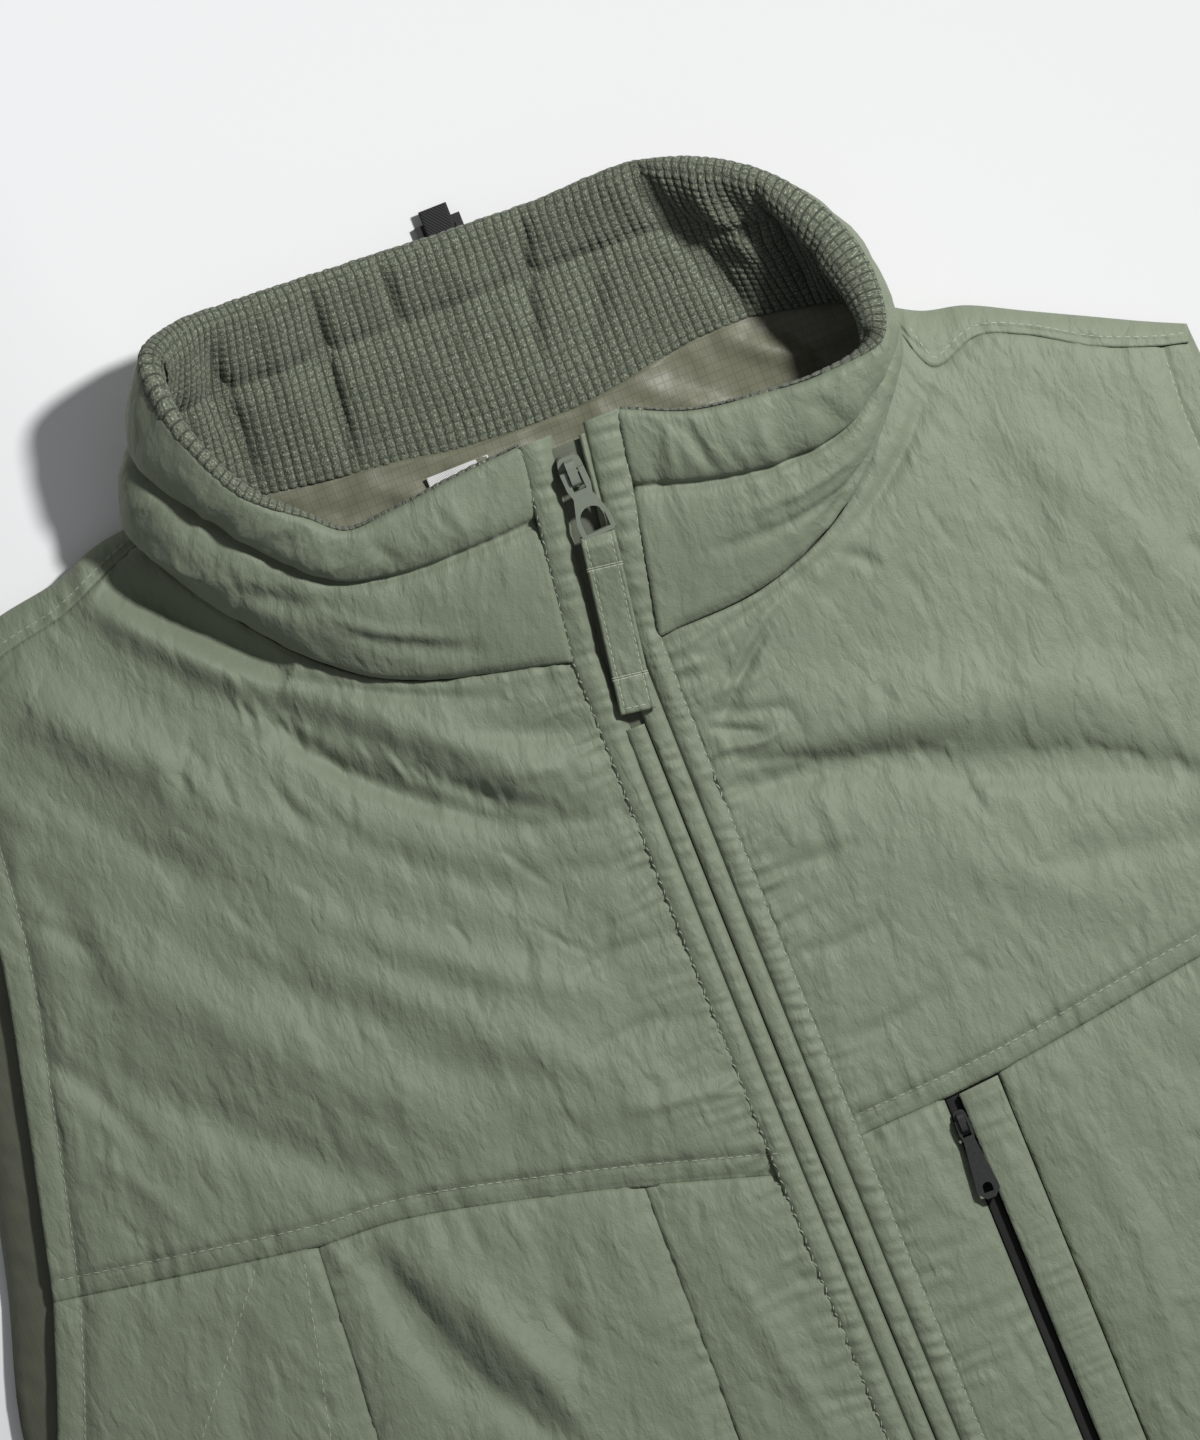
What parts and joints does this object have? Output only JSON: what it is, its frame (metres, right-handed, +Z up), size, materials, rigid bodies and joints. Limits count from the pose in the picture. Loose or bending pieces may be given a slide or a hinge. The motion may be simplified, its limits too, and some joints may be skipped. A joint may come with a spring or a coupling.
{
  "type": "padded vest with stand collar",
  "caption": "Lightly padded sleeveless zip vest laid flat, with a tall stand collar lined in waffle knit, yoke seams, a zipped chest pocket and a cloth pull tab.",
  "frame": {"origin": "on the surface it lies on, under the middle of its outline", "axes": "+X towards the wearer's left, +Y from the hem to the collar, +Z up, off the surface"},
  "size_m": [0.607, 0.761, 0.0537],
  "materials": {
    "shell_nylon": "crinkled matt nylon, grey green",
    "collar_knit": "waffle knit, heather grey green",
    "lining_ripstop": "smooth ripstop, khaki",
    "label_white": "plain satin tape",
    "zip_tape": "woven zip tape, dark green",
    "dark_tape": "woven zip tape, near black",
    "painted_metal": "satin grey-green paint",
    "dark_metal": "satin near-black paint",
    "black_plastic": "moulded, satin",
    "black_webbing": "twill webbing"
  },
  "bodies": {
    "vest": {"back_panel": "shell_nylon", "back_shoulder_right": "shell_nylon", "back_shoulder_left": "shell_nylon", "back_lining": "lining_ripstop", "label": "label_white", "front_upper_right": "shell_nylon", "front_upper_left": "shell_nylon", "front_centre_right": "shell_nylon", "front_middle_right": "shell_nylon", "front_side_right": "shell_nylon", "front_centre_left": "shell_nylon", "front_middle_left": "shell_nylon", "front_side_left": "shell_nylon", "placket_welt_right": "shell_nylon", "placket_welt_left": "shell_nylon", "zip_flap_right": "shell_nylon", "zip_flap_left": "shell_nylon", "zip_tape": "zip_tape", "collar_shell": "shell_nylon", "collar_knit": "collar_knit", "zip_slider": "painted_metal", "chest_pocket_zip": "dark_tape", "chest_pocket_welt": "shell_nylon", "chest_pocket_slider": "dark_metal", "hanger_plastic": "black_plastic", "hanger_webbing": "black_webbing"},
    "main_zip_pull": {"zip_pull": "painted_metal", "zip_pull_tab": "shell_nylon"},
    "chest_zip_pull": {"chest_pocket_pull": "dark_metal"}
  },
  "joints": [
    {"name": "main_pull_swing", "type": "hinge", "parent": "vest", "child": "main_zip_pull", "pos_m": [0.00363, 0.27961, 0.04658], "axis": [-1, 0, 0], "range_deg": [0, 150]},
    {"name": "chest_pull_swing", "type": "hinge", "parent": "vest", "child": "chest_zip_pull", "pos_m": [0.04538, 0.03049, 0.01488], "axis": [-1, 0, 0], "range_deg": [0, 120]}
  ]
}
